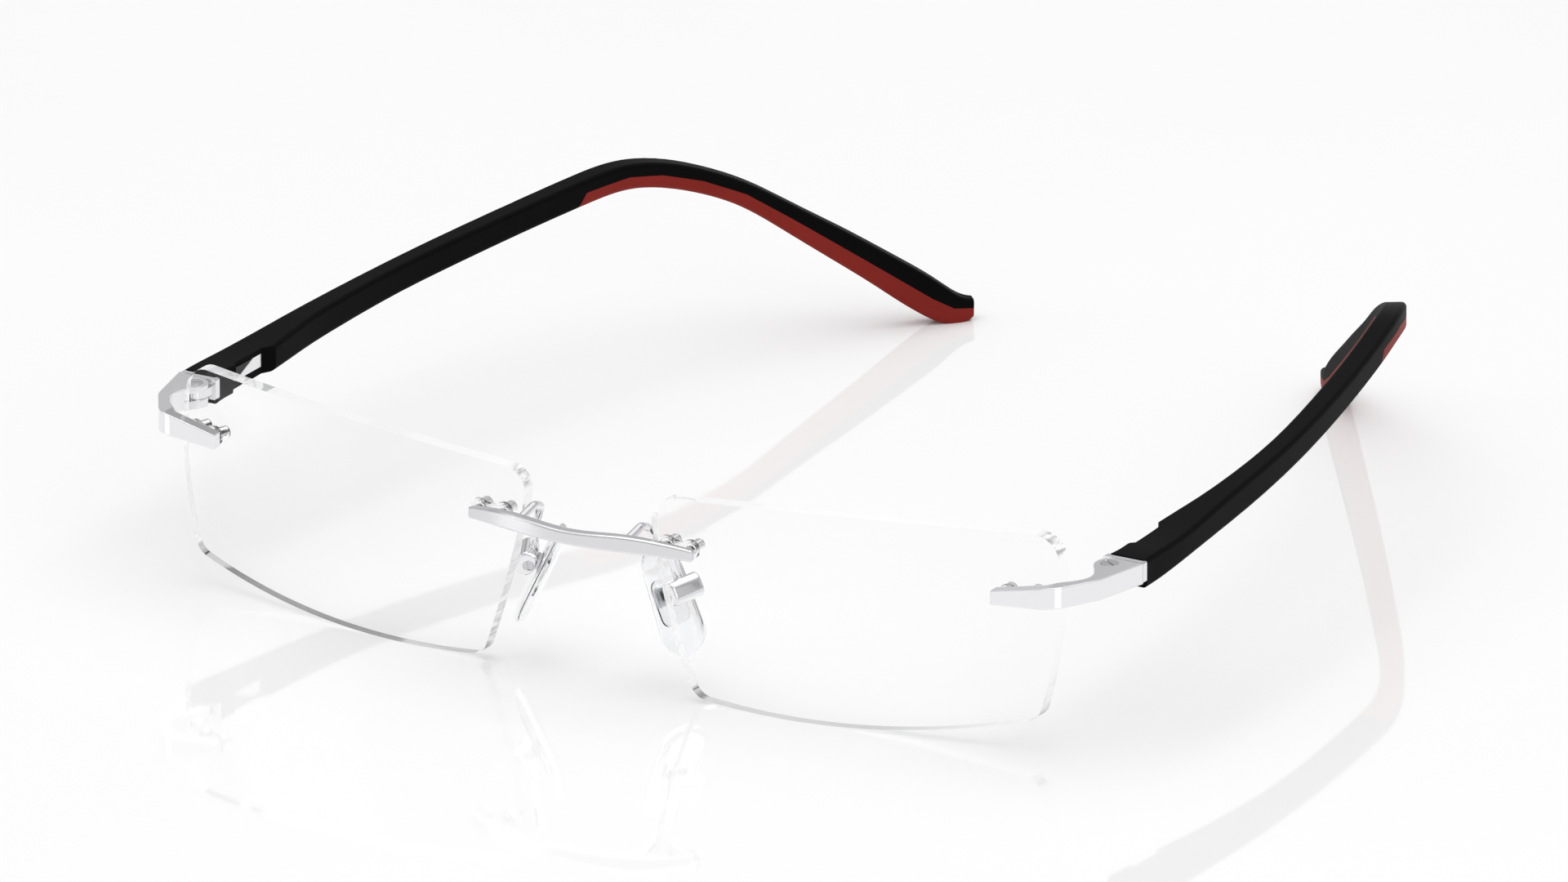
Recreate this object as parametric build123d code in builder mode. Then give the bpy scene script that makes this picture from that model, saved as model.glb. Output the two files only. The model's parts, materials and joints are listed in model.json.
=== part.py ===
from build123d import *
import os
from math import sqrt

# Rimless eyeglasses, standing open on their lens rims and temple tips.
# Millimetres. +Z is up, the front faces -Y, the temples run towards +Y, and X = 0 is
# the mirror plane. Everything is modelled on the +X side, the wearer's left, and
# mirrored for the wearer's right.

os.makedirs("parts", exist_ok=True)

# ---- driving dimensions ------------------------------------------------------

slip_fit = 0.02          # radial or side clearance of a part seated in another
hinge_fit = 0.03         # radial clearance of a turning joint
joint_gap = 0.05         # gap between faces that slide past each other

# lens
bridge_gap = 17.9        # between the two lenses at their closest
lens_width = 54.0
lens_height = 28.3
lens_thickness = 2.0
lens_radius = 132.0      # front curve
lens_vertex_x = 18.0     # where the front curve is furthest forward
lens_front_y = -67.79    # foremost point of the lens; the origin is under the middle
top_temporal_round = 3.7
top_nasal_round = 3.2
low_corner_round = 2.2
top_nasal_corner = (-0.3, -2.4)        # from the nasal edge and the top
top_middle = (27.0, -0.45)             # from the nasal edge and the top
top_temporal_corner = (-0.4, -0.15)    # from the temporal edge and the top
temporal_middle_share = 0.62           # widest place, as a share of the height
low_temporal_corner = (-2.4, 4.1)      # from the temporal edge and the bottom
lowest_from_nasal = 20.3
low_nasal_corner = (6.4, 0.75)         # from the nasal edge and the bottom
nasal_middle_inset = 2.05
nasal_middle_share = 0.495

# posts that pin the metal to the lenses, and their clear bushings
post_radius = 0.5
post_pitch = 3.4
post_drop = 7.8          # posts below the top of the lens
post_stand_out = 0.35    # past the back of the lens
nasal_post_inset = 2.85  # first nasal post from the nasal edge
temporal_post_inset = 2.6
sleeve_wall = 0.3
bushing_plate = 0.55
bushing_rim = 0.45       # plate edge outside the sleeve
plate_stand_off = 0.12   # plate off the curve of the lens
plate_waist = 1.3        # height of the plate between its ends, over the end radius

# bridge bar
bridge_over_post = 0.9   # bar end past its outer post
bridge_bow = 4.1         # how far the middle stands in front of the ends
bridge_mid_depth = 1.6
bridge_end_depth = 0.95
bridge_edge_round = 0.3

# pad arm
arm_wire_radius = 0.55
arm_root_x = 7.7
arm_root_rise = 0.55     # above the posts
arm_loop_rise = 0.9      # loop above the root
arm_loop_front = 1.6     # first corner of the loop in front of the second
arm_loop_back = 2.0      # second corner behind the front of the lens
arm_loop_drop = 0.6      # second corner below the first
arm_fall = 3.6           # straight stretch above the pad box
arm_rise_round = 1.1
arm_loop_round = 0.9
arm_fall_round = 3.0
arm_enter_way = Vector(-0.2, -0.25, 0.95)

# nose pad and its box
pad_length = 14.6
pad_width = 6.6
pad_top_round = 2.9
pad_thickness = 1.7
pad_edge_round = 0.6
pad_rear_way = Vector(0.43, 0.89, 0.16)   # across the pad, to the rear
pad_up_way = Vector(-0.44, 0.05, 0.895)   # up the pad
pad_screw_to_post_x = -2.35               # pad screw from the nasal posts
pad_screw_to_post_z = -7.6
pad_screw_back = 5.2     # behind the front of the lens
pad_to_screw = 1.95      # pad middle plane to the pad screw
pad_drop = 0.9           # pad centre below the pad screw
pad_forward = 1.2        # pad centre in front of the pad screw
box_length = 4.4
box_height = 3.2
box_nasal = 0.85         # box face from the screw axis
box_temporal = 1.6
box_cheek = 1.1
box_corner = 1.05
box_end_round = 0.4
arm_socket_lift = 0.25   # socket floor above the pocket for the lug
arm_root_sink = 0.1      # wire end clear of the bottom of its hole in the bar
arm_root_hole = 3.0      # reach of the cutter for that hole
lug_radius_pad = 0.95
lug_neck_width = 1.3
pad_screw_radius = 0.4
pad_screw_head_radius = 0.65
pad_screw_head = 0.4
insert_length = 6.0
insert_width = 4.6
insert_thickness = 0.5
insert_corner = 1.2
pad_slot_turn = 30       # slot of the pad screw, degrees

# endpiece: front bar, wrap round the lens corner and hinge block
bar_tip_over_post = 1.0
bar_depth = 1.6
bar_low = 1.0            # below the posts
bar_high = 0.7           # above the posts
corner_out = 1.35        # past the temporal edge of the lens
corner_back = 0.6        # behind the bar's front face
corner_round = 3.2
elbow_out = 4.75
elbow_back = 6.1
elbow_round = 5.0
wrap_wall = 1.5
wrap_root = (-1.6, 0.55)   # end of the bar's back face, from the corner and the bar's back
wrap_inner_past = 0.9      # inner face behind the elbow
wrap_lug_past = 0.9        # inner face outside the lug's side
wrap_lug_ahead = 2.3       # and in front of the pivot
wrap_step = 0.6            # breaks of the edges, inside the corner and the elbow
corner_high_drop = 0.1     # upper edge at the corner, below the block
hinge_outer_out = 6.55
block_low_drop = 0.2     # below the posts
block_height = 2.7

# temple hinge
pivot_out = 2.8
pivot_back = 12.45
lug_radius = 1.8
upper_lug = 0.75
lower_lug = 0.85
knuckle_radius = 1.72
hinge_screw_radius = 0.6
hinge_head_radius = 1.1
hinge_head = 0.35
slot_width = 0.28
slot_depth = 0.18
hinge_slot_turn = -35    # slot of the hinge screw, degrees
lug_pocket_spare = 0.94  # round pocket past the knuckle
flange_corner = 0.25
flange_thickness = 0.95
flange_inner = 2.0       # inner edge of the flange from the pivot
tang_length = 17.0
tang_inner = 0.9         # inner face of the tang from the pivot
tang_thickness = 1.3
tang_height = 1.7

# temple
temple_run = 89.8        # front face to the bend
temple_front_height = 3.7
temple_corner = 0.55
waist_start = 3.7        # from the temple's front face
waist_end = 13.0
waist_depth = 1.1
waist_climb = 1.9        # length of the rear slope
waist_lean = 0.25        # floor of the waist shallower at its rear
waist_lip = 0.4          # rear slope runs on past the inner face
temple_inner = 1.75      # inner face at the front, from the pivot
tip_rest_height = 1.3    # centre of the tip above the table
grip_start = 76.5        # from the temple's front face
grip_slant = Vector(0, 0.75, -0.66)

# ---- derived places ----------------------------------------------------------

nasal_x = bridge_gap / 2
temporal_x = nasal_x + lens_width
lens_centre = Vector(lens_vertex_x, lens_front_y + lens_radius, lens_height / 2)
post_height = lens_height - post_drop
nasal_posts_x = nasal_x + nasal_post_inset + post_pitch / 2
temporal_posts_x = temporal_x - temporal_post_inset - post_pitch / 2
sleeve_radius = post_radius + sleeve_wall
plate_radius = sleeve_radius + bushing_rim
plate_front = plate_stand_off + bushing_plate
post_end = lens_thickness + post_stand_out
block_low = post_height - block_low_drop
block_high = block_low + block_height
gap_low = block_low + lower_lug
gap_high = block_high - upper_lug
hinge_z = block_low + block_height / 2


def lens_front_at(x, z):
    """Y of the lens's front curve over a point of the X-Z plane."""
    across = x - lens_centre.X
    up = z - lens_centre.Z
    return lens_centre.Y - sqrt(lens_radius**2 - across**2 - up**2)


def lens_plane(x):
    """Plane that touches the front curve between a pair of posts, facing forward."""
    lean = (x - lens_centre.X) / lens_radius
    level = sqrt(1 - lean**2)
    touch = Vector(x, lens_front_at(x, post_height), post_height)
    return Plane(origin=touch, x_dir=Vector(level, lean, 0), z_dir=Vector(lean, -level, 0))


def write(name, part):
    """Labels one finished piece and writes its STEP file."""
    part.label = name
    export_step(part, f"parts/{name}.step")


def write_pair(name, part):
    """Writes a piece of the wearer's left side and its mirror image."""
    write(f"left_{name}", part)
    write(f"right_{name}", mirror(part, about=Plane.YZ))


nasal_plane = lens_plane(nasal_posts_x)
temporal_plane = lens_plane(temporal_posts_x)

# ---- lens --------------------------------------------------------------------
# A meniscus cut from a spherical shell, with two pairs of drilled holes.

with BuildPart() as lens:
    with BuildSketch(Plane.XZ.offset(lens_thickness - lens_front_y)):
        with BuildLine():
            top_nasal = Vector(nasal_x, lens_height) + Vector(top_nasal_corner)
            top_temporal = Vector(temporal_x, lens_height) + Vector(top_temporal_corner)
            low_temporal = Vector(temporal_x, 0) + Vector(low_temporal_corner)
            low_nasal = Vector(nasal_x, 0) + Vector(low_nasal_corner)
            highest = Vector(nasal_x, lens_height) + Vector(top_middle)
            widest = (temporal_x, lens_height * temporal_middle_share)
            lowest = (nasal_x + lowest_from_nasal, 0)
            nasal_middle = (nasal_x + nasal_middle_inset, lens_height * nasal_middle_share)
            ThreePointArc(top_nasal, highest, top_temporal)
            ThreePointArc(top_temporal, widest, low_temporal)
            ThreePointArc(low_temporal, lowest, low_nasal)
            ThreePointArc(low_nasal, nasal_middle, top_nasal)
        make_face()
        fillet(vertices().sort_by_distance(top_nasal)[0], top_nasal_round)
        fillet(vertices().sort_by_distance(top_temporal)[0], top_temporal_round)
        fillet(vertices().sort_by_distance(low_temporal)[0], low_corner_round)
        fillet(vertices().sort_by_distance(low_nasal)[0], low_corner_round)
    extrude(amount=-lens_radius / 2)
    with Locations(lens_centre):
        Sphere(lens_radius, mode=Mode.INTERSECT)
        Sphere(lens_radius - lens_thickness, mode=Mode.SUBTRACT)
    for plane in (nasal_plane, temporal_plane):
        with BuildSketch(plane):
            with GridLocations(post_pitch, 0, 2, 1):
                Circle(sleeve_radius + slip_fit)
        extrude(amount=3 * lens_thickness, both=True, mode=Mode.SUBTRACT)
write_pair("lens", lens.part)


# ---- bushings ----------------------------------------------------------------
# A dog-bone plate lies between the metal and the lens, and its two sleeves line
# the holes of the lens.

def make_bushing(plane):
    """Clear double bushing on a lens plane, with its plate held off the curve."""
    with BuildPart() as bushing:
        with BuildSketch(plane.offset(plate_stand_off)):
            with GridLocations(post_pitch, 0, 2, 1):
                Circle(plate_radius)
            Rectangle(post_pitch, plate_waist * plate_radius)
        extrude(amount=bushing_plate)
        with BuildSketch(plane.offset(plate_stand_off)):
            with GridLocations(post_pitch, 0, 2, 1):
                Circle(sleeve_radius)
        extrude(amount=-(plate_stand_off + lens_thickness + post_stand_out / 2))
        with BuildSketch(plane):
            with GridLocations(post_pitch, 0, 2, 1):
                Circle(post_radius + slip_fit)
        extrude(amount=2 * lens_thickness, both=True, mode=Mode.SUBTRACT)
    return bushing.part


write_pair("bridge_bushing", make_bushing(nasal_plane))
write_pair("endpiece_bushing", make_bushing(temporal_plane))


# ---- bridge ------------------------------------------------------------------
# A bowed bar with a gentle wave, two posts at each end, and a socket behind for
# each pad arm.

bridge_reach = nasal_posts_x + post_pitch / 2 + bridge_over_post
bridge_end_back = lens_front_at(bridge_reach, post_height) - plate_front - joint_gap
bridge_end_front = bridge_end_back - bridge_end_depth
bridge_bow_radius = (bridge_reach**2 + bridge_bow**2) / (2 * bridge_bow)


def bridge_front_at(x):
    """Y of the bar's front face."""
    centre = bridge_end_front - bridge_bow + bridge_bow_radius
    return centre - sqrt(bridge_bow_radius**2 - x**2)


bridge_profile = [          # x as a share of the half length, lower and upper edge
    (1.0, -1.25, 0.25),
    (0.75, -0.7, 1.2),
    (0.5, -0.5, 1.6),
    (0.0, -0.45, 1.3),
]
bar_right = [(share * bridge_reach, low, high) for share, low, high in bridge_profile]
bar_left = [(-x, low, high) for x, low, high in bar_right[:-1]]
bar_stations = sorted(bar_left + bar_right)
arm_root_z = post_height + arm_root_rise

arm_root = Vector(arm_root_x, bridge_front_at(arm_root_x) + bridge_end_depth, arm_root_z)
arm_loop = Vector(arm_root_x, lens_front_y + arm_loop_back, arm_root_z + arm_loop_rise)
arm_first_corner = arm_loop - Vector(0, arm_loop_front, 0)
arm_root_plane = Plane(origin=arm_root, z_dir=arm_first_corner - arm_root)

with BuildPart() as arm_hole:
    with BuildSketch(arm_root_plane):
        Circle(arm_wire_radius + slip_fit)
    extrude(amount=arm_root_hole)

with BuildPart() as bridge_posts:
    for side in (-0.5, 0.5):
        post_x = nasal_posts_x + side * post_pitch
        bar_centre_y = bridge_front_at(post_x) + bridge_end_depth / 2
        with BuildSketch(nasal_plane.offset(nasal_plane.origin.Y - bar_centre_y)):
            with Locations((side * post_pitch, 0)):
                Circle(post_radius)
        extrude(amount=-(nasal_plane.origin.Y - bar_centre_y + post_end))

with BuildPart() as bridge:
    with BuildSketch(Plane.XY.offset(post_height - 5)):
        with BuildLine():
            left_front = (-bridge_reach, bridge_end_front)
            right_front = (bridge_reach, bridge_end_front)
            left_back = (-bridge_reach, bridge_end_back)
            right_back = (bridge_reach, bridge_end_back)
            middle_y = bridge_end_front - bridge_bow
            ThreePointArc(left_front, (0, middle_y), right_front)
            Line(right_front, right_back)
            ThreePointArc(right_back, (0, middle_y + bridge_mid_depth), left_back)
            Line(left_back, left_front)
        make_face()
    extrude(amount=10)
    with BuildSketch(Plane.XZ.offset(-lens_front_y)):
        with BuildLine():
            upper = [(x, post_height + high) for x, low, high in bar_stations]
            lower = [(x, post_height + low) for x, low, high in reversed(bar_stations)]
            Spline(*upper)
            Line(upper[-1], lower[0])
            Spline(*lower)
            Line(lower[-1], upper[0])
        make_face()
    extrude(amount=20, both=True, mode=Mode.INTERSECT)
    fillet(edges(), bridge_edge_round)
    add(bridge_posts.part)
    mirror(bridge_posts.part, about=Plane.YZ)
    add(arm_hole.part, mode=Mode.SUBTRACT)
    mirror(arm_hole.part, about=Plane.YZ, mode=Mode.SUBTRACT)
write("bridge", bridge.part)


# ---- nose pad places ---------------------------------------------------------
# In the pad plane x runs to the rear, y up the pad and z out towards the lens.
# In the screw plane x runs up the pad, y out towards the lens and z to the rear.

pad_screw_centre = Vector(
    nasal_posts_x + pad_screw_to_post_x,
    lens_front_y + pad_screw_back,
    post_height + pad_screw_to_post_z,
)
pad_out_way = pad_rear_way.cross(pad_up_way).normalized()
pad_plane = Plane(
    origin=pad_screw_centre - pad_out_way * pad_to_screw - pad_up_way * pad_drop
    - pad_rear_way * pad_forward,
    x_dir=pad_rear_way,
    z_dir=pad_out_way,
)
screw_plane = Plane(origin=pad_screw_centre, x_dir=pad_plane.y_dir, z_dir=pad_plane.x_dir)
cheek_inner = box_length / 2 - box_cheek
cheek_outer = box_length / 2
pocket_half_height = lug_radius_pad + joint_gap
screw_axis = Axis(screw_plane.origin, screw_plane.z_dir)

# ---- pad box -----------------------------------------------------------------
# A rounded block with a pocket for the pad's lug between its two cheeks.

with BuildPart() as pad_box:
    with BuildSketch(screw_plane.offset(-cheek_outer)):
        with Locations((0, (box_temporal - box_nasal) / 2)):
            RectangleRounded(box_height, box_temporal + box_nasal, box_corner)
    extrude(amount=box_length)
    fillet(pad_box.faces().sort_by(screw_axis)[0].edges(), box_end_round)
    fillet(pad_box.faces().sort_by(screw_axis)[-1].edges(), box_end_round)
    with BuildSketch(screw_plane.offset(-cheek_inner)):
        with Locations((0, pocket_half_height)):
            Rectangle(
                2 * pocket_half_height,
                2 * box_temporal + box_nasal,
                align=(Align.CENTER, Align.MAX),
            )
    extrude(amount=2 * cheek_inner, mode=Mode.SUBTRACT)
    with BuildSketch(screw_plane):
        Circle(pad_screw_radius + slip_fit)
    extrude(amount=box_length, both=True, mode=Mode.SUBTRACT)
    with BuildSketch(screw_plane.offset(-cheek_outer)):
        Circle(pad_screw_head_radius + slip_fit)
    extrude(amount=pad_screw_head, mode=Mode.SUBTRACT)
    arm_socket_floor = Plane(
        origin=pad_screw_centre + pad_plane.y_dir * (pocket_half_height + arm_socket_lift),
        z_dir=arm_enter_way,
    )
    with BuildSketch(arm_socket_floor):
        Circle(arm_wire_radius + slip_fit)
    extrude(amount=box_height, mode=Mode.SUBTRACT)
write_pair("pad_box", pad_box.part)

# ---- pad screw ---------------------------------------------------------------

with BuildPart() as pad_screw:
    with BuildSketch(screw_plane.offset(-cheek_outer)):
        Circle(pad_screw_radius)
    extrude(amount=box_length)
    with BuildSketch(screw_plane.offset(-cheek_outer)):
        Circle(pad_screw_head_radius)
    extrude(amount=pad_screw_head)
    with BuildSketch(screw_plane.offset(-cheek_outer)):
        Rectangle(3 * pad_screw_head_radius, slot_width, rotation=pad_slot_turn)
    extrude(amount=slot_depth, mode=Mode.SUBTRACT)
write_pair("pad_screw", pad_screw.part)

# ---- pad arm -----------------------------------------------------------------
# Wire that leaves the back of the bar, loops over and drops into the pad box.

arm_end = arm_socket_floor.origin
arm_points = [
    arm_root + arm_root_plane.z_dir * arm_root_sink,
    arm_first_corner,
    arm_loop - Vector(0, 0, arm_loop_drop),
    arm_end + arm_socket_floor.z_dir * arm_fall,
    arm_end,
]
with BuildPart() as pad_arm:
    with BuildLine() as arm_path:
        FilletPolyline(*arm_points, radius=[arm_rise_round, arm_loop_round, arm_fall_round])
    with BuildSketch(Plane(origin=arm_path.line @ 0, z_dir=arm_path.line % 0)):
        Circle(arm_wire_radius)
    sweep()
write_pair("pad_arm", pad_arm.part)


# ---- pad insert and nose pad -------------------------------------------------
# A metal plate with a lug, moulded into a soft clear pad.

def make_insert(spare):
    """Plate and neck of the insert, grown all round by the spare."""
    with BuildPart() as insert:
        with BuildSketch(pad_plane.offset(-insert_thickness / 2 - spare)):
            RectangleRounded(insert_width + 2 * spare, insert_length + 2 * spare, insert_corner)
        extrude(amount=insert_thickness + 2 * spare)
        with BuildSketch(screw_plane.offset(-cheek_inner + joint_gap - spare)):
            Rectangle(
                lug_neck_width + 2 * spare,
                pad_to_screw,
                align=(Align.CENTER, Align.MAX),
            )
        extrude(amount=2 * (cheek_inner - joint_gap + spare))
    return insert.part


with BuildPart() as pad_insert:
    add(make_insert(0))
    with BuildSketch(screw_plane.offset(-cheek_inner + joint_gap)):
        Circle(lug_radius_pad)
    extrude(amount=2 * (cheek_inner - joint_gap))
    with BuildSketch(screw_plane):
        Circle(pad_screw_radius + hinge_fit)
    extrude(amount=box_length, both=True, mode=Mode.SUBTRACT)
write_pair("pad_insert", pad_insert.part)

with BuildPart() as nose_pad:
    with BuildSketch(pad_plane.offset(-pad_thickness / 2)):
        with Locations((0, pad_width / 2 - pad_length / 2)):
            Circle(pad_width / 2)
        with Locations((pad_width / 2 - pad_top_round, pad_length / 2 - pad_top_round)):
            Circle(pad_top_round)
        make_hull()
    extrude(amount=pad_thickness)
    fillet(edges(), pad_edge_round)
    add(make_insert(slip_fit), mode=Mode.SUBTRACT)
write_pair("nose_pad", nose_pad.part)

# ---- endpiece ----------------------------------------------------------------
# A bar in front of the lens, the wrap round its corner, and the hinge block with an
# upper and a lower lug.

bar_tip_x = temporal_posts_x - post_pitch / 2 - bar_tip_over_post
bar_back_y = lens_front_at(bar_tip_x, post_height) - plate_front - joint_gap
bar_front_y = bar_back_y - bar_depth
corner = Vector(temporal_x + corner_out, bar_front_y + corner_back)
elbow = Vector(temporal_x + elbow_out, bar_front_y + elbow_back)
hinge_outer_x = temporal_x + hinge_outer_out
pivot_x = temporal_x + pivot_out
pivot_y = bar_front_y + pivot_back
joint_y = pivot_y + lug_radius

with BuildPart() as endpiece_posts:
    for side in (-0.5, 0.5):
        lens_y = temporal_plane.from_local_coords(Vector(side * post_pitch, 0, 0)).Y
        reach = (lens_y - bar_front_y - bar_depth / 2) / -temporal_plane.z_dir.Y
        with BuildSketch(temporal_plane.offset(reach)):
            with Locations((side * post_pitch, 0)):
                Circle(post_radius)
        extrude(amount=-(reach + post_end))

with BuildPart() as endpiece:
    with BuildSketch(Plane.XY.offset(block_low - 5)):
        with BuildLine():
            tip_front = (bar_tip_x, bar_front_y)
            tip_back = (bar_tip_x, bar_back_y)
            bar_root = Vector(corner.X, bar_back_y) + Vector(wrap_root)
            lug_side = (pivot_x - lug_radius, pivot_y)
            lug_back = (pivot_x, joint_y)
            Line(tip_front, corner)
            Line(corner, elbow)
            Line(elbow, (hinge_outer_x, joint_y))
            Line((hinge_outer_x, joint_y), lug_back)
            RadiusArc(lug_back, lug_side, -lug_radius)
            Spline(
                lug_side,
                (pivot_x - lug_radius + wrap_lug_past, pivot_y - wrap_lug_ahead),
                (elbow.X - wrap_wall, elbow.Y + wrap_inner_past),
                bar_root,
                tangents=[(0, -1), (-0.7, -0.7)],
            )
            Line(bar_root, tip_back)
            Line(tip_back, tip_front)
        make_face()
        fillet(vertices().sort_by_distance(corner)[0], corner_round)
        fillet(vertices().sort_by_distance(elbow)[0], elbow_round)
    extrude(amount=10)
    with BuildSketch(Plane.XZ.offset(-lens_front_y)):
        with BuildLine():
            Polyline(
                (bar_tip_x - 1, post_height - bar_low),
                (bar_tip_x - 1, post_height + bar_high),
                (corner.X - wrap_step, block_high - corner_high_drop),
                (elbow.X - wrap_step, block_high),
                (hinge_outer_x + 1, block_high),
                (hinge_outer_x + 1, block_low),
                (elbow.X - wrap_step, block_low),
                close=True,
            )
        make_face()
    extrude(amount=40, both=True, mode=Mode.INTERSECT)
    add(endpiece_posts.part)
    with BuildSketch(Plane.XY.offset(gap_low)):
        with Locations((pivot_x, pivot_y)):
            Circle(knuckle_radius + lug_pocket_spare)
    extrude(amount=gap_high - gap_low, mode=Mode.SUBTRACT)
    with BuildSketch(Plane.XY.offset(block_low)):
        with Locations((pivot_x, pivot_y)):
            Circle(hinge_screw_radius + slip_fit)
    extrude(amount=block_height, mode=Mode.SUBTRACT)
    with BuildSketch(Plane.XY.offset(block_high - hinge_head)):
        with Locations((pivot_x, pivot_y)):
            Circle(hinge_head_radius + slip_fit)
    extrude(amount=hinge_head, mode=Mode.SUBTRACT)
write_pair("endpiece", endpiece.part)

# ---- hinge screw -------------------------------------------------------------

with BuildPart() as hinge_screw:
    with BuildSketch(Plane.XY.offset(block_low)):
        with Locations((pivot_x, pivot_y)):
            Circle(hinge_screw_radius)
    extrude(amount=block_height)
    with BuildSketch(Plane.XY.offset(block_high - hinge_head)):
        with Locations((pivot_x, pivot_y)):
            Circle(hinge_head_radius)
    extrude(amount=hinge_head)
    with BuildSketch(Plane.XY.offset(block_high - slot_depth)):
        with Locations((pivot_x, pivot_y)):
            Rectangle(3 * hinge_head_radius, slot_width, rotation=hinge_slot_turn)
    extrude(amount=slot_depth, mode=Mode.SUBTRACT)
write_pair("hinge_screw", hinge_screw.part)

# ---- hinge core --------------------------------------------------------------
# The temple's metal: a knuckle between the lugs, a flange that closes the joint,
# and a tang let into the temple.

flange_y = joint_y + joint_gap
flange_inner_x = pivot_x - flange_inner
temple_y = flange_y + flange_thickness + slip_fit
tang_x = pivot_x - tang_inner + tang_thickness / 2

with BuildPart() as hinge_core:
    with BuildSketch(Plane.XY.offset(gap_low + slip_fit)):
        with Locations((pivot_x, pivot_y)):
            Circle(knuckle_radius)
            Rectangle(
                2 * knuckle_radius,
                flange_y - pivot_y + flange_thickness / 2,
                align=(Align.CENTER, Align.MIN),
            )
            Circle(hinge_screw_radius + hinge_fit, mode=Mode.SUBTRACT)
    extrude(amount=gap_high - gap_low - 2 * slip_fit)
    with BuildSketch(Plane.XZ.offset(-flange_y)):
        with Locations(((flange_inner_x + hinge_outer_x) / 2, hinge_z)):
            RectangleRounded(hinge_outer_x - flange_inner_x, block_height, flange_corner)
    extrude(amount=-flange_thickness)
    with BuildSketch(Plane.XZ.offset(-flange_y - flange_thickness)):
        with Locations((tang_x, hinge_z)):
            Rectangle(tang_thickness, tang_height)
    extrude(amount=-tang_length)
write_pair("hinge_core", hinge_core.part)

# ---- temple ------------------------------------------------------------------
# Sections along the run: share of the run, x from the pivot, z from the hinge,
# thickness, height, height of the grip. Sections of the bent leg: x and y from the
# bend, share of the bend's height above the tip, thickness, height, height of the grip.

front_thickness = hinge_outer_x - pivot_x + temple_inner
front_offset = (hinge_outer_x - pivot_x - temple_inner) / 2
run_sections = [
    (0.0, front_offset, -0.4, front_thickness, temple_front_height, 1.3),
    (0.065, front_offset - 0.1, -0.3, front_thickness - 0.15, 3.6, 1.3),
    (0.154, 0.55, 0.0, 5.1, 3.4, 1.3),
    (0.243, 0.4, 0.35, 3.9, 3.7, 1.3),
    (0.332, 0.0, 0.7, 3.3, 3.75, 1.3),
    (0.465, -1.1, 1.3, 2.95, 3.6, 1.3),
    (0.6, -2.95, 2.0, 2.95, 3.5, 1.3),
    (0.733, -5.25, 2.75, 3.0, 3.4, 1.6),
    (0.866, -7.95, 3.55, 3.0, 3.4, 1.7),
    (0.944, -9.95, 3.7, 3.0, 3.35, 1.75),
    (1.0, -12.05, 2.85, 3.0, 3.3, 1.75),
]
leg_sections = [
    (-3.1, 5.2, 0.92, 3.0, 3.15, 1.75),
    (-6.7, 9.9, 0.808, 3.0, 3.1, 1.8),
    (-10.8, 14.7, 0.636, 3.0, 3.45, 1.9),
    (-15.0, 19.3, 0.459, 3.0, 4.0, 2.1),
    (-19.3, 23.8, 0.277, 3.0, 4.4, 2.3),
    (-23.6, 28.2, 0.091, 3.0, 4.6, 2.5),
    (-25.6, 30.3, 0.018, 2.9, 4.0, 2.3),
    (-27.6, 32.2, 0.015, 2.2, 2.4, 1.3),
]
bend_x = pivot_x + run_sections[-1][1]
bend_y = temple_y + temple_run
bend_z = hinge_z + run_sections[-1][2]
sections = []
for share, x, z, thickness, height, grip in run_sections:
    place = Vector(pivot_x + x, temple_y + share * temple_run, hinge_z + z)
    sections.append((place, thickness, height, grip))
for x, y, share, thickness, height, grip in leg_sections:
    z = tip_rest_height + share * (bend_z - tip_rest_height)
    sections.append((Vector(bend_x + x, bend_y + y, z), thickness, height, grip))


def section_plane(index):
    """Plane across the centre line at one section, its x axis level and outwards."""
    if index == 0:
        along = Vector(0, 1, 0)
    else:
        ahead = sections[min(index + 1, len(sections) - 1)][0]
        along = (ahead - sections[index - 1][0]).normalized()
    return Plane(
        origin=sections[index][0],
        x_dir=along.cross(Vector(0, 0, 1)),
        z_dir=along,
    )


with BuildPart() as temple_form:
    for index, (place, thickness, height, grip) in enumerate(sections):
        with BuildSketch(section_plane(index)):
            RectangleRounded(thickness, height, temple_corner)
    loft()
    split(bisect_by=Plane.XY, keep=Keep.TOP)
    waist_x = pivot_x - temple_inner
    with BuildSketch(Plane.XY.offset(block_low - 5)):
        with BuildLine():
            Polyline(
                (waist_x - 3, temple_y + waist_start),
                (waist_x, temple_y + waist_start),
                (waist_x + waist_depth, temple_y + waist_start + waist_depth),
                (waist_x + waist_depth - waist_lean, temple_y + waist_end - waist_climb),
                (waist_x - waist_lip, temple_y + waist_end),
                (waist_x - 3, temple_y + waist_end),
                close=True,
            )
        make_face()
    extrude(amount=15, mode=Mode.SUBTRACT)

first_grip_section = 7
with BuildPart() as grip_space:
    for index in range(first_grip_section, len(sections)):
        place, thickness, height, grip = sections[index]
        with BuildSketch(section_plane(index)):
            with Locations((0, height / 2 - grip)):
                Rectangle(4 * thickness, 2 * height, align=(Align.CENTER, Align.MIN))
    loft(ruled=True)
    grip_origin = Vector(bend_x, temple_y + grip_start, bend_z)
    split(bisect_by=Plane(origin=grip_origin, z_dir=grip_slant), keep=Keep.TOP)

with BuildPart() as temple_arm:
    add(temple_form.part)
    add(grip_space.part, mode=Mode.SUBTRACT)
    with BuildSketch(Plane.XZ.offset(-temple_y + slip_fit)):
        with Locations((tang_x, hinge_z)):
            Rectangle(tang_thickness + 2 * slip_fit, tang_height + 2 * slip_fit)
    extrude(amount=-tang_length - 2 * slip_fit, mode=Mode.SUBTRACT)
write_pair("temple_arm", temple_arm.part)

with BuildPart() as temple_grip:
    add(temple_form.part)
    add(grip_space.part, mode=Mode.INTERSECT)
write_pair("temple_grip", temple_grip.part)
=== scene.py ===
import json

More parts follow.
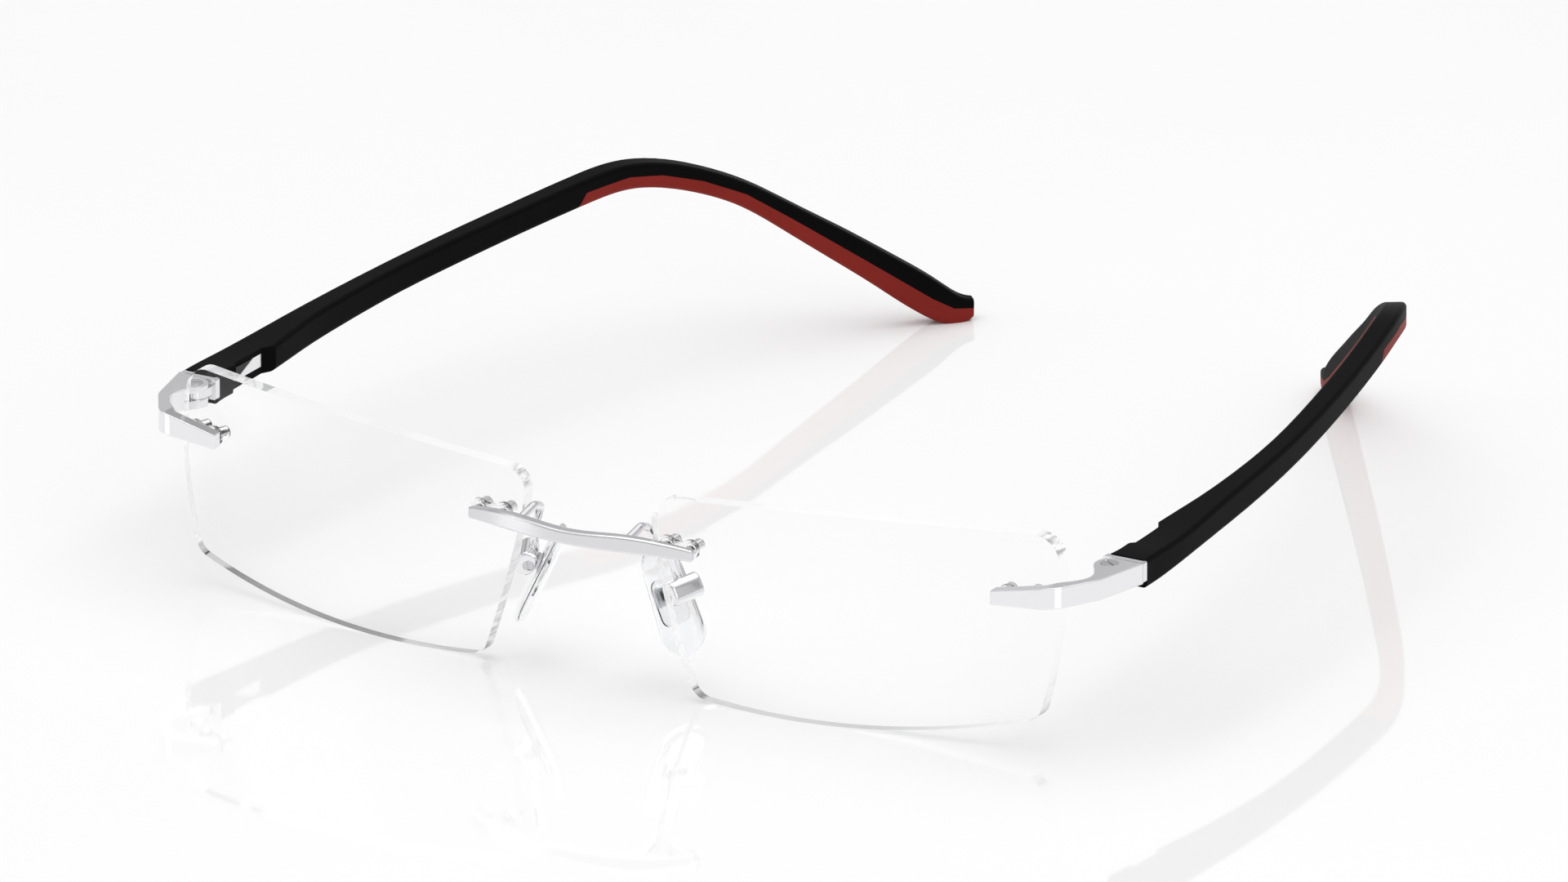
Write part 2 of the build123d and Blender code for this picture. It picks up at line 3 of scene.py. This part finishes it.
import bpy
import numpy as np
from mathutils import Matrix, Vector


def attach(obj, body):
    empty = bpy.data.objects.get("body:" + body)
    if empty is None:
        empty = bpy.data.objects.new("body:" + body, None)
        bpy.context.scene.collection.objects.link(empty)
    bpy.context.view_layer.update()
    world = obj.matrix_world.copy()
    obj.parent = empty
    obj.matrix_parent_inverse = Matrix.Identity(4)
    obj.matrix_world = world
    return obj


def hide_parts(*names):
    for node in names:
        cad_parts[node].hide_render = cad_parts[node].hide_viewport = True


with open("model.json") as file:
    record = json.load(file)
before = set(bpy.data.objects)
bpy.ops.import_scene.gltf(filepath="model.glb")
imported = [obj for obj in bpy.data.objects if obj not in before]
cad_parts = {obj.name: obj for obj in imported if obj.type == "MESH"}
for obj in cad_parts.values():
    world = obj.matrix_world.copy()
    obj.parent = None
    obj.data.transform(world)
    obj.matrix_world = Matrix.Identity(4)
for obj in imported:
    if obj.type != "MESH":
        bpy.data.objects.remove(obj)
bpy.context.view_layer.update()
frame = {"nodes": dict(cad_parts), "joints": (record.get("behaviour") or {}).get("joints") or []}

# ---- Camera ----------------------------------------------------------------
# A long lens stands well back, above the wearer's left front, and looks down a
# little, so that both temples and both lenses show in one open view.

MM = 0.001
camera_target = Vector((0.42, -19.84, 17.08)) * MM
camera_way = Vector((0.4749, -0.8120, 0.3392)).normalized()
camera_distance = 5.1156

camera_data = bpy.data.cameras.new("studio_camera")
camera_data.sensor_width = 36
camera_data.lens = 940
camera_data.clip_start = 0.1
camera_data.clip_end = 100
camera = bpy.data.objects.new("studio_camera", camera_data)
camera.location = camera_target + camera_way * camera_distance
camera.rotation_mode = "QUATERNION"
camera.rotation_quaternion = (-camera_way).to_track_quat("-Z", "Y")
bpy.context.scene.collection.objects.link(camera)
bpy.context.scene.camera = camera
bpy.context.scene.view_settings.view_transform = "Standard"

# ---- Studio floor and light ------------------------------------------------
# A white lacquered table with a faint gloss runs back to a pale room. One broad
# soft box hangs overhead, and one stands at each side to draw edges on the metal.


class Value:
    """A number that changes over a surface: a node socket that adds Math nodes."""

    def __init__(self, finish, socket):
        self.finish = finish
        self.socket = socket

    def math(self, operation, *terms):
        return self.finish.node("ShaderNodeMath", {"operation": operation}, dict(enumerate(terms)))

    def __add__(self, other):
        return self.math("ADD", self, other)

    def __sub__(self, other):
        return self.math("SUBTRACT", self, other)

    def __rsub__(self, other):
        return self.math("SUBTRACT", other, self)

    def __mul__(self, other):
        return self.math("MULTIPLY", self, other)

    __radd__ = __add__
    __rmul__ = __mul__

    def absolute(self):
        return self.math("ABSOLUTE", self)

    def clipped(self, low, high):
        """0 at low, 1 at high, and an even climb between."""
        return self.finish.node(
            "ShaderNodeMapRange", {"clamp": True}, {"Value": self, "From Min": low, "From Max": high}
        )


class Finish:
    """One procedural material, or the room's, built node by node."""

    def __init__(self, owner):
        owner.use_nodes = True
        self.owner = owner
        self.tree = owner.node_tree
        self.tree.nodes.clear()

    def node(self, kind, settings, inputs, output=0):
        """A node of any kind: its settings or a ramp's stops, then its inputs, given by
        name or number. It returns one of the node's outputs."""
        made = self.tree.nodes.new(kind)
        for name, setting in settings.items():
            if name == "stops":
                ramp = made.color_ramp.elements
                while len(ramp) < len(setting):
                    ramp.new(0.5)
                for element, (place, colour) in zip(ramp, setting):
                    element.position = place
                    element.color = (*colour, 1)
            else:
                setattr(made, name, setting)
        for name, given in inputs.items():
            if isinstance(given, Value):
                self.tree.links.new(given.socket, made.inputs[name])
            else:
                made.inputs[name].default_value = given
        return Value(self, made.outputs[output])

    def place(self):
        """Object coordinates, in metres."""
        return self.node("ShaderNodeTexCoord", {}, {}, "Object")

    def stretched(self, scale):
        """Object coordinates, scaled by a different amount along each axis."""
        return self.node("ShaderNodeMapping", {}, {"Vector": self.place(), "Scale": scale})

    def along(self, axis, vector):
        """The part of a vector that lies along one axis."""
        return self.node("ShaderNodeSeparateXYZ", {}, {"Vector": vector}, axis)

    def noise(self, where, scale, detail=2.0):
        return self.node("ShaderNodeTexNoise", {}, {"Vector": where, "Scale": scale, "Detail": detail})

    def mix(self, share, first, second):
        """A colour between two, by a share."""
        colours = {0: share, 6: (*first, 1), 7: (*second, 1)}
        return self.node("ShaderNodeMix", {"data_type": "RGBA"}, colours, 2)

    def bump(self, height, depth, **base):
        """Raises a surface by a share of a depth, over the base's Normal if it has one."""
        return self.node("ShaderNodeBump", {}, {"Height": height, "Distance": depth, **base})

    def principled(self, **inputs):
        names = {name.replace("_", " "): given for name, given in inputs.items()}
        return self.node("ShaderNodeBsdfPrincipled", {}, names)

    def output(self, shader, kind="ShaderNodeOutputMaterial"):
        made = self.tree.nodes.new(kind)
        self.tree.links.new(shader.socket, made.inputs["Surface"])
        return self.owner


def write_mesh(name, points, faces, smooth=True):
    """An object at the origin whose mesh has these points, in mm, and faces."""
    mesh = bpy.data.meshes.new(name)
    mesh.from_pydata((points * MM).tolist(), [], faces)
    mesh.update()
    mesh.polygons.foreach_set("use_smooth", np.full(len(mesh.polygons), smooth))
    made = bpy.data.objects.new(name, mesh)
    bpy.context.scene.collection.objects.link(made)
    return made


floor_half = 30000.0
floor_corners = np.array([[-1, -1, 0], [1, -1, 0], [1, 1, 0], [-1, 1, 0]]) * floor_half
floor = write_mesh("studio_floor", floor_corners, [[0, 1, 2, 3]], smooth=False)
lacquer = Finish(bpy.data.materials.new("white_lacquer"))
cloud = lacquer.noise(lacquer.place(), 14.0)
floor.data.materials.append(
    lacquer.output(
        lacquer.principled(
            Base_Color=lacquer.mix(cloud, (0.93, 0.93, 0.93), (0.95, 0.95, 0.95)),
            Roughness=0.03 + 0.02 * cloud,
            Specular_IOR_Level=0.75,
        )
    )
)

# The room's light from the floor's level, at 0, to straight overhead, at 1.
room_bands = [
    (0.0, (0.95, 0.95, 0.95)), (0.08, (0.80, 0.80, 0.80)), (0.20, (0.50, 0.50, 0.51)),
    (0.40, (0.60, 0.60, 0.61)), (0.55, (0.30, 0.30, 0.31)), (0.66, (0.95, 0.95, 0.95)),
]
room_strength = 1.03
world = bpy.data.worlds.new("studio_room")
bpy.context.scene.world = world
room = Finish(world)
height = room.along("Z", room.node("ShaderNodeTexCoord", {}, {}, "Generated"))
bands = room.node("ShaderNodeValToRGB", {"stops": room_bands}, {"Fac": height})
room.output(
    room.node("ShaderNodeBackground", {}, {"Color": bands, "Strength": room_strength}),
    "ShaderNodeOutputWorld",
)


def hang_light(name, place, aim, size, power):
    """A square soft box of a size and power (m, W) at place, facing aim, both in metres."""
    lamp = bpy.data.lights.new(name, "AREA")
    lamp.shape = "SQUARE"
    lamp.size = size
    lamp.energy = power
    made = bpy.data.objects.new(name, lamp)
    bpy.context.scene.collection.objects.link(made)
    made.location = place
    made.rotation_mode = "QUATERNION"
    made.rotation_quaternion = (Vector(aim) - Vector(place)).to_track_quat("-Z", "Y")


hang_light("overhead_box", place=(0.05, 0.0, 1.0), aim=(0, 0, 0), size=1.1, power=4.2)
hang_light("left_box", place=(0.9, -0.5, 0.5), aim=(0, 0, 0.01), size=0.5, power=1.0)
hang_light("right_box", place=(-0.8, -0.6, 0.35), aim=(0, 0, 0.01), size=0.35, power=0.6)

# ---- Lenses ----------------------------------------------------------------
# Two clear plastic lenses, cut from a curved blank, drilled at four places and
# polished, with a finely ground rougher edge that is coloured as a thin grey line of painted shade.

SIDES = {"left": 1, "right": -1}


def give_finish(material, *pieces):
    """Puts a material on these pieces of both sides."""
    for side in SIDES:
        for piece in pieces:
            frame["nodes"][f"{side}_{piece}"].material_slots[0].material = material


def clear_to_light(finish, shader, share):
    """A shader to the eye, and a clear sheet to the lights, which passes this share."""
    shadow = finish.node("ShaderNodeLightPath", {}, {}, "Is Shadow Ray")
    sheet = finish.node("ShaderNodeBsdfTransparent", {}, {"Color": (share, share, share, 1)})
    return finish.node("ShaderNodeMixShader", {}, {"Fac": shadow, 1: shader, 2: sheet})


def clear_finish(name, tint, painted_edge_shade, index, roughness, edge_roughness, edge_open):
    """Clear plastic that light passes, rougher on its ground edge, which is where it faces
    sideways, and coloured darker there as painted shade, most at corners and lower edges.
    The share edge_open of a straight edge is see-through, less of a corner, which faces both
    sideways and up or down, and less of a lower edge."""
    clear = Finish(bpy.data.materials.new(name))
    facing = clear.node("ShaderNodeTexCoord", {}, {}, "Normal")
    sideways = clear.along("X", facing)
    forward = clear.along("Y", facing)
    upward = clear.along("Z", facing)
    edge = 1 - forward.absolute().clipped(0.55, 0.8)
    corner = (sideways * upward).absolute().clipped(0.16, 0.36)
    lower = upward.clipped(-0.2, -0.7)
    streak = clear.noise(clear.stretched((1.0, 0.25, 1.0)), 1400.0).clipped(0.38, 0.60)
    film = clear.noise(clear.place(), 180.0)
    # Painted shade: the edge is coloured darker in streaks at its corners and where it faces down,
    # standing for the dark lines along a clear edge.
    dark = edge * (0.85 * corner * streak + 0.35 * lower)
    body = clear.principled(
        Base_Color=clear.mix(dark, tint, painted_edge_shade),
        Roughness=roughness + edge * (edge_roughness * film),
        IOR=index,
        Transmission_Weight=1.0,
    )
    see_through = clear.node("ShaderNodeBsdfTransparent", {}, {"Color": (0.97, 0.97, 0.97, 1)})
    share = edge * edge_open * (1 - corner) * (1 - lower)
    skin = clear.node("ShaderNodeMixShader", {}, {"Fac": share, 1: body, 2: see_through})
    return clear.output(clear_to_light(clear, skin, 0.93))


lens_plastic = clear_finish(
    "lens_plastic", tint=(0.99, 0.99, 0.99), painted_edge_shade=(0.10, 0.10, 0.10), index=1.22,
    roughness=0.0, edge_roughness=0.05, edge_open=0.4,
)
give_finish(lens_plastic, "lens")

# ---- Bushings --------------------------------------------------------------
# Small clear double bushings of moulded nylon line the drilled holes and keep the
# metal off the lenses.

# Their edges carry the same painted edge shade as the lenses, only lighter.
bushing_nylon = clear_finish(
    "bushing_nylon", tint=(0.97, 0.97, 0.97), painted_edge_shade=(0.25, 0.25, 0.25), index=1.42,
    roughness=0.01, edge_roughness=0.05, edge_open=0.2,
)
give_finish(bushing_nylon, "bridge_bushing", "endpiece_bushing")

# ---- Bridge ----------------------------------------------------------------
# A bowed bar, cut from nickel steel, brushed along its length and given a satin
# face. Two posts at each end pass through the bushings.


def steel_finish(name, dark, bright, low_rough, high_rough, grain, grain_depth, edge_round):
    """Steel brushed along X, with cloudy handling marks in its colour and gloss. The
    grain's depth and the rounding of its edges are in mm."""
    steel = Finish(bpy.data.materials.new(name))
    brush = steel.noise(steel.stretched((0.06, 1.0, 1.0)), grain, 3.0)
    cloud = steel.noise(steel.place(), 260.0)
    rounded = steel.node("ShaderNodeBevel", {"samples": 6}, {"Radius": edge_round * MM})
    return steel.output(
        steel.principled(
            Base_Color=steel.mix(0.6 * brush + 0.4 * cloud, dark, bright),
            Metallic=1.0,
            Roughness=low_rough + (high_rough - low_rough) * (0.5 * brush + 0.5 * cloud),
            Normal=steel.bump(brush, grain_depth * MM, Normal=rounded),
        )
    )


satin_steel = steel_finish(
    "satin_steel", dark=(0.70, 0.70, 0.71), bright=(0.77, 0.77, 0.78),
    low_rough=0.19, high_rough=0.27, grain=9000.0, grain_depth=0.001, edge_round=0.15,
)
frame["nodes"]["bridge"].material_slots[0].material = satin_steel

# ---- Pad arms, boxes and screws --------------------------------------------
# A polished wire leaves the back of the bar at each side and drops into a small
# rounded box, where a slotted screw holds the pad.

polished_steel = steel_finish(
    "polished_steel", dark=(0.80, 0.80, 0.81), bright=(0.88, 0.88, 0.89),
    low_rough=0.06, high_rough=0.13, grain=12000.0, grain_depth=0.0006, edge_round=0.28,
)
screw_steel = steel_finish(
    "screw_steel", dark=(0.52, 0.52, 0.54), bright=(0.70, 0.70, 0.71),
    low_rough=0.12, high_rough=0.28, grain=16000.0, grain_depth=0.002, edge_round=0.06,
)
give_finish(polished_steel, "pad_arm", "pad_box")
give_finish(screw_steel, "pad_screw")

# ---- Nose pads -------------------------------------------------------------
# Clear silicone is moulded round a small plate, in a teardrop that is wide at its
# lower end and crowned on the side that meets the nose.

pad_length = 14.6
pad_width = 6.6
pad_top_round = 2.9
pad_thickness = 1.7
pad_to_screw = 1.95
pad_drop = 0.9
pad_forward = 1.2
pad_rear_way = np.array([0.43, 0.89, 0.16])
pad_up_way = np.array([-0.44, 0.05, 0.895])
pad_rings = 40
pad_around = 96
pad_pole_gap = 0.02
rim_power = 0.45
crown_power = 0.75
belt_blend = 0.16
lug_reach = 2.0
lug_blend = 0.2


def closed_faces(rings, around, way):
    """Faces of a grid whose columns close on themselves, with one face over the hole at
    each pole. A way of -1 turns every face over, for a mirrored piece."""
    row, column = np.meshgrid(np.arange(rings - 1), np.arange(around), indexing="ij")
    beside = (column + 1) % around
    corners = [row * around + column, row * around + beside]
    corners += [(row + 1) * around + beside, (row + 1) * around + column]
    quads = np.stack(corners, -1).reshape(-1, 4)[:, ::way]
    first_pole = np.arange(around)[::-way]
    last_pole = (rings - 1) * around + np.arange(around)[::way]
    return quads.tolist() + [first_pole.tolist(), last_pole.tolist()]


def teardrop_outline(turn):
    """Outline of a pad: a belt round two circles, the larger one at the lower end. Each
    angle gives the way the belt faces, and the circle that it touches there."""
    facing = np.stack([np.sin(turn), -np.cos(turn)], -1)
    upper = np.clip(facing[:, 1] / belt_blend + 0.5, 0, 1)[:, None]
    low_centre = np.array([0.0, pad_width / 2 - pad_length / 2])
    high_centre = np.array([pad_width / 2 - pad_top_round, pad_length / 2 - pad_top_round])
    centre = low_centre + (high_centre - low_centre) * upper
    radius = pad_width / 2 + (pad_top_round - pad_width / 2) * upper
    outline = centre + facing * radius
    return outline[:, 0], outline[:, 1]


def pad_surface(screw_centre):
    """A flattened egg: rings from the pole on the nose side to the pole on the lens
    side, each ring the outline shrunk by a power of the sine, raised by the cosine."""
    turn = np.linspace(0, 2 * np.pi, pad_around, endpoint=False)
    tilt = np.linspace(pad_pole_gap, np.pi - pad_pole_gap, pad_rings)
    ring = np.sin(tilt) ** rim_power
    rise = np.sign(np.cos(tilt)) * np.abs(np.cos(tilt)) ** crown_power
    across, up = teardrop_outline(turn)
    rear = pad_rear_way / np.linalg.norm(pad_rear_way)
    out = np.cross(pad_rear_way, pad_up_way)
    out = out / np.linalg.norm(out)
    upward = np.cross(out, rear)
    centre = screw_centre - out * pad_to_screw - upward * pad_drop - rear * pad_forward
    flat = across[:, None] * rear + up[:, None] * upward
    points = centre + ring[:, None, None] * flat + (rise * pad_thickness / 2)[:, None, None] * out
    return points.reshape(-1, 3)


silicone = Finish(bpy.data.materials.new("clear_silicone"))
haze = silicone.noise(silicone.place(), 900.0)
pad_skin = silicone.principled(
    Base_Color=silicone.mix(haze, (0.93, 0.94, 0.95), (0.97, 0.98, 0.98)),
    Roughness=0.03 + 0.05 * haze,
    IOR=1.43,
    Transmission_Weight=1.0,
    Normal=silicone.bump(haze, 0.01 * MM),
)
clear_silicone = silicone.output(clear_to_light(silicone, pad_skin, 0.88))


def insert_finish(side, pivot):
    """Steel near the screw's axis and clear resin beyond it: the distance from the axis
    is the length of the cross product of its direction and the way from the pivot."""
    insert = Finish(bpy.data.materials.new(f"{side}_pad_plate"))
    away = insert.node(
        "ShaderNodeVectorMath", {"operation": "SUBTRACT"}, {0: insert.place(), 1: pivot["pos_m"]}
    )
    turned = insert.node(
        "ShaderNodeVectorMath", {"operation": "CROSS_PRODUCT"}, {0: away, 1: pivot["axis"]}
    )
    distance = insert.node("ShaderNodeVectorMath", {"operation": "LENGTH"}, {0: turned}, "Value")
    brush = insert.noise(insert.place(), 4000.0)
    lug = insert.principled(
        Base_Color=insert.mix(brush, (0.55, 0.55, 0.57), (0.75, 0.75, 0.76)),
        Metallic=1.0,
        Roughness=0.16 + 0.12 * brush,
    )
    resin = insert.principled(
        Base_Color=insert.mix(brush, (0.90, 0.90, 0.91), (0.95, 0.95, 0.95)),
        Roughness=0.05 + 0.05 * brush,
        IOR=1.49,
        Transmission_Weight=1.0,
    )
    share = distance.clipped(lug_reach * MM, (lug_reach + lug_blend) * MM)
    return insert.output(insert.node("ShaderNodeMixShader", {}, {"Fac": share, 1: lug, 2: resin}))


pivots = {joint["name"]: joint for joint in frame["joints"]}
screw_centre = np.array(pivots["left_pad_rock"]["pos_m"]) / MM
for side, sign in SIDES.items():
    points = pad_surface(screw_centre) * (sign, 1, 1)
    faces = closed_faces(pad_rings, pad_around, sign)
    cushion = write_mesh(f"{side}_pad_cushion", points, faces)
    cushion.data.materials.append(clear_silicone)
    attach(cushion, f"{side}_pad")
    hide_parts(f"{side}_nose_pad")
    plate = insert_finish(side, pivots[f"{side}_pad_rock"])
    frame["nodes"][f"{side}_pad_insert"].material_slots[0].material = plate

# ---- Endpieces and hinges --------------------------------------------------
# A polished steel endpiece carries each hinge. Its screw passes through the eye of
# a steel core, whose tang is coloured black above a slanting line as painted shade for the dark hollow
# of its recess, and left bright steel below.

tang_front = -46.5
tang_blend = 0.2
glint_y = -41.5
glint_z = 21.9
glint_slope = 0.4
glint_blend = 0.1

give_finish(polished_steel, "endpiece")
give_finish(screw_steel, "hinge_screw")
core = Finish(bpy.data.materials.new("hinge_core_steel"))
core_brush = core.noise(core.place(), 6000.0)
core_back = core.along("Y", core.place())
core_up = core.along("Z", core.place())
on_tang = core_back.clipped(tang_front * MM, (tang_front + tang_blend) * MM)
over_glint = core_up - glint_z * MM - glint_slope * (core_back - glint_y * MM)
# The black above the slanting line is painted shade, standing for the dark hollow of the tang's
# recess, and it is not a coat on the steel.
recess_shade_share = on_tang * over_glint.clipped(-glint_blend * MM, glint_blend * MM)
core_steel = core.output(
    core.principled(
        Base_Color=core.mix(recess_shade_share, (0.82, 0.82, 0.83), (0.003, 0.003, 0.003)),
        Metallic=1 - recess_shade_share,
        Roughness=0.08 + 0.06 * core_brush + 0.4 * recess_shade_share,
        Normal=core.bump(core_brush, 0.0006 * MM),
    )
)
give_finish(core_steel, "hinge_core")

# ---- Temples ---------------------------------------------------------------
# Each temple is moulded nylon over the hinge's tang, with a soft matt coat that
# has a very fine grain.

coat = Finish(bpy.data.materials.new("matte_black"))
grain = coat.noise(coat.place(), 7000.0)
wear = coat.noise(coat.place(), 120.0, 3.0)
matte_black = coat.output(
    coat.principled(
        Base_Color=coat.mix(wear, (0.0020, 0.0020, 0.0021), (0.0034, 0.0034, 0.0035)),
        Roughness=0.42 + 0.1 * grain + 0.08 * wear,
        Specular_IOR_Level=0.03,
        Normal=coat.bump(grain, 0.006 * MM),
    )
)
give_finish(matte_black, "temple_arm")

# ---- Temple grips ----------------------------------------------------------
# A red rubber grip is moulded under each leg, where the temple rests on the ear.

rubber = Finish(bpy.data.materials.new("red_rubber"))
rubber_grain = rubber.noise(rubber.place(), 5200.0)
rubber_cloud = rubber.noise(rubber.place(), 150.0, 3.0)
red_rubber = rubber.output(
    rubber.principled(
        Base_Color=rubber.mix(rubber_cloud, (0.20, 0.013, 0.009), (0.25, 0.019, 0.013)),
        Roughness=0.45 + 0.15 * rubber_grain,
        Specular_IOR_Level=0.12,
        Normal=rubber.bump(rubber_grain, 0.008 * MM),
    )
)
give_finish(red_rubber, "temple_grip")
